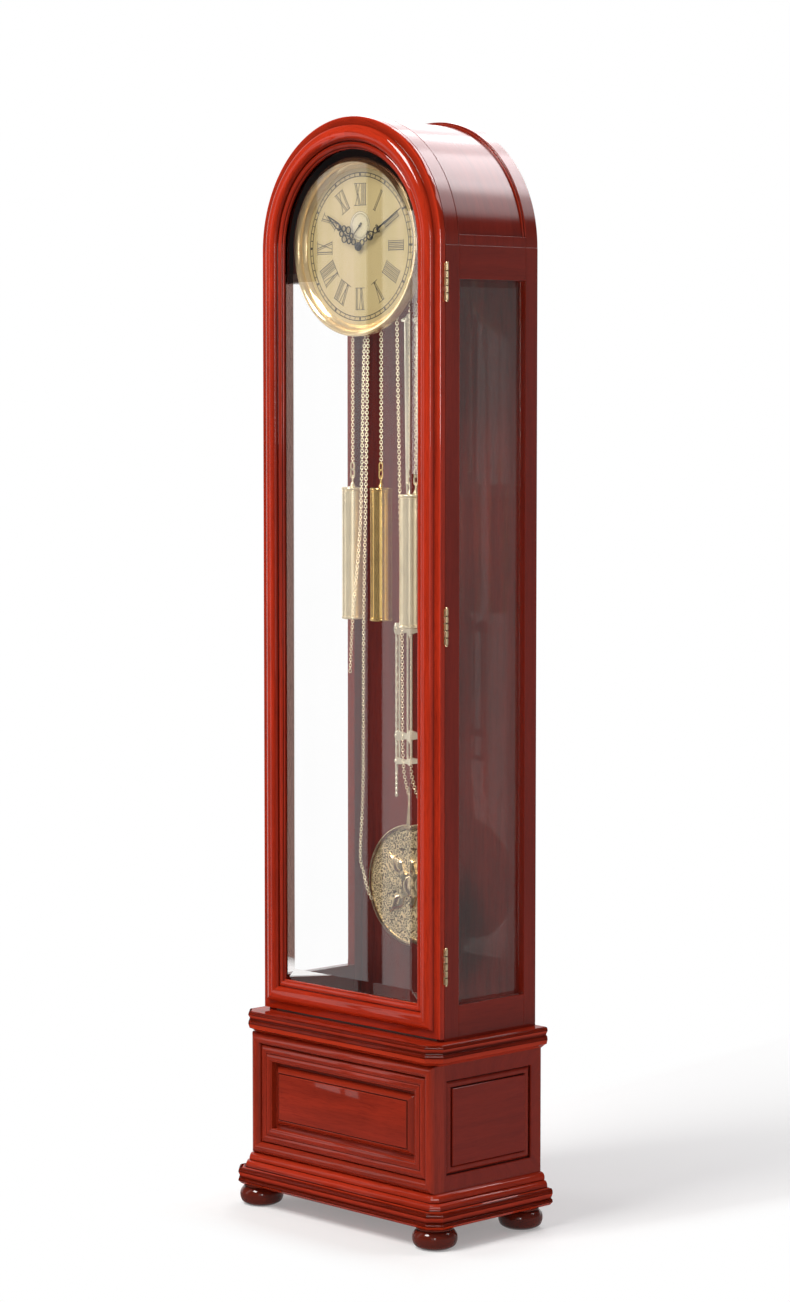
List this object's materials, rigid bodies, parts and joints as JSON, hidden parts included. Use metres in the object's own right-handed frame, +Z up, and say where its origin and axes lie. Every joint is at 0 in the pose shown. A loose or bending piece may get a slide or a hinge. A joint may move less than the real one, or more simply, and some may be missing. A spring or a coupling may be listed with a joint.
{
  "type": "grandfather clock",
  "caption": "Tall floor-standing pendulum clock: arched glass door in moulded wood, glass sides, panelled base on bun feet, chain-driven cylindrical weights, lattice pendulum, dial under the arch",
  "frame": {"origin": "on the floor, under the middle of the bounding box", "axes": "+X to the right seen from the front, -Y is the front with the door, +Z up"},
  "size_m": [0.545, 0.3, 2],
  "materials": {
    "red_wood": "clear gloss lacquer over red-stained cherry",
    "dark_wood": "satin, dark red",
    "clear_glass": "clear float glass",
    "polished_brass": "polished and lacquered",
    "pale_brass": "pale polished brass",
    "dial_gold": "brushed champagne gold",
    "black_steel": "gloss black",
    "movement_brass": "brushed"
  },
  "bodies": {
    "case": {"foot_front_left": "red_wood", "foot_front_right": "red_wood", "foot_rear_left": "red_wood", "foot_rear_right": "red_wood", "plinth_moulding": "red_wood", "base_front_rail_top": "red_wood", "base_front_rail_bottom": "red_wood", "base_front_stile_left": "red_wood", "base_front_stile_right": "red_wood", "base_front_panel": "red_wood", "base_side_left": "red_wood", "base_side_right": "red_wood", "base_back_board": "dark_wood", "surbase_moulding": "red_wood", "case_floor_board": "dark_wood", "case_back_board": "dark_wood", "case_front_stile_left": "red_wood", "case_front_stile_right": "red_wood", "case_rear_stile_left": "red_wood", "case_rear_stile_right": "red_wood", "case_bottom_rail_left": "red_wood", "case_bottom_rail_right": "red_wood", "case_top_rail_left": "red_wood", "case_top_rail_right": "red_wood", "side_glass_left": "clear_glass", "side_glass_right": "clear_glass", "hood_barrel": "red_wood", "hinge_lower_case_leaf": "polished_brass", "hinge_middle_case_leaf": "polished_brass", "hinge_upper_case_leaf": "polished_brass", "dial_plate": "dial_gold", "dial_bezel": "polished_brass", "movement_front_plate": "movement_brass", "movement_back_plate": "movement_brass", "seat_board": "dark_wood", "chain_left": "pale_brass", "chain_centre": "pale_brass", "chain_right": "pale_brass", "chime_rods": "black_steel"},
    "door": {"door_stile_left": "red_wood", "door_stile_right": "red_wood", "door_rail_bottom": "red_wood", "door_arch": "red_wood", "door_glass": "clear_glass", "door_catch": "black_steel", "hinge_lower_door_leaf": "polished_brass", "hinge_middle_door_leaf": "polished_brass", "hinge_upper_door_leaf": "polished_brass"},
    "minute_hand": {"minute_hand": "black_steel"},
    "hour_hand": {"hour_hand": "black_steel"},
    "seconds_hand": {"seconds_hand": "black_steel"},
    "pendulum": {"pendulum_leader": "pale_brass", "pendulum_lattice": "pale_brass", "pendulum_bob": "polished_brass"},
    "weight_left": {"weight_left": "polished_brass"},
    "weight_centre": {"weight_centre": "polished_brass"},
    "weight_right": {"weight_right": "polished_brass"},
    "chain_wheel_left": {"chain_wheel_left": "movement_brass"},
    "chain_wheel_centre": {"chain_wheel_centre": "movement_brass"},
    "chain_wheel_right": {"chain_wheel_right": "movement_brass"}
  },
  "joints": [
    {"name": "door_swing", "type": "hinge", "parent": "case", "child": "door", "pos_m": [0.2374, -0.0872, 1.1], "axis": [0, 0, 1], "range_deg": [0, 160]},
    {"name": "minute_hand_turn", "type": "hinge", "parent": "case", "child": "minute_hand", "pos_m": [0, -0.0769, 1.77], "axis": [0, 1, 0], "continuous": true},
    {"name": "hour_hand_turn", "type": "hinge", "parent": "case", "child": "hour_hand", "pos_m": [0, -0.0744, 1.77], "axis": [0, 1, 0], "continuous": true},
    {"name": "seconds_hand_turn", "type": "hinge", "parent": "case", "child": "seconds_hand", "pos_m": [0, -0.0719, 1.807], "axis": [0, 1, 0], "continuous": true},
    {"name": "pendulum_swing", "type": "hinge", "parent": "case", "child": "pendulum", "pos_m": [0, 0.058, 1.755], "axis": [0, 1, 0], "range_deg": [-3, 3]},
    {"name": "weight_left_travel", "type": "slide", "parent": "case", "child": "weight_left", "axis": [0, 0, 1], "range_m": [-0.66, 0.2], "deforming": ["chain_left"]},
    {"name": "weight_centre_travel", "type": "slide", "parent": "case", "child": "weight_centre", "axis": [0, 0, 1], "range_m": [-0.66, 0.2], "deforming": ["chain_centre"]},
    {"name": "weight_right_travel", "type": "slide", "parent": "case", "child": "weight_right", "axis": [0, 0, 1], "range_m": [-0.65, 0.21], "deforming": ["chain_right"]},
    {"name": "chain_wheel_left_turn", "type": "hinge", "parent": "case", "child": "chain_wheel_left", "pos_m": [-0.05825, -0.018, 1.756], "axis": [0, 1, 0], "range_deg": [-2250, 900]},
    {"name": "chain_wheel_centre_turn", "type": "hinge", "parent": "case", "child": "chain_wheel_centre", "pos_m": [-0.01725, -0.018, 1.756], "axis": [0, 1, 0], "range_deg": [-900, 2250]},
    {"name": "chain_wheel_right_turn", "type": "hinge", "parent": "case", "child": "chain_wheel_right", "pos_m": [0.05825, -0.018, 1.756], "axis": [0, 1, 0], "range_deg": [-930, 2220]}
  ],
  "couplings": [
    {"joint": "hour_hand_turn", "follows": "minute_hand_turn", "ratio": 0.083333},
    {"joint": "seconds_hand_turn", "follows": "minute_hand_turn", "ratio": 60},
    {"joint": "chain_wheel_left_turn", "follows": "weight_left_travel", "rad_per_m": 57.971},
    {"joint": "chain_wheel_centre_turn", "follows": "weight_centre_travel", "rad_per_m": -57.971},
    {"joint": "chain_wheel_right_turn", "follows": "weight_right_travel", "rad_per_m": -57.971}
  ]
}
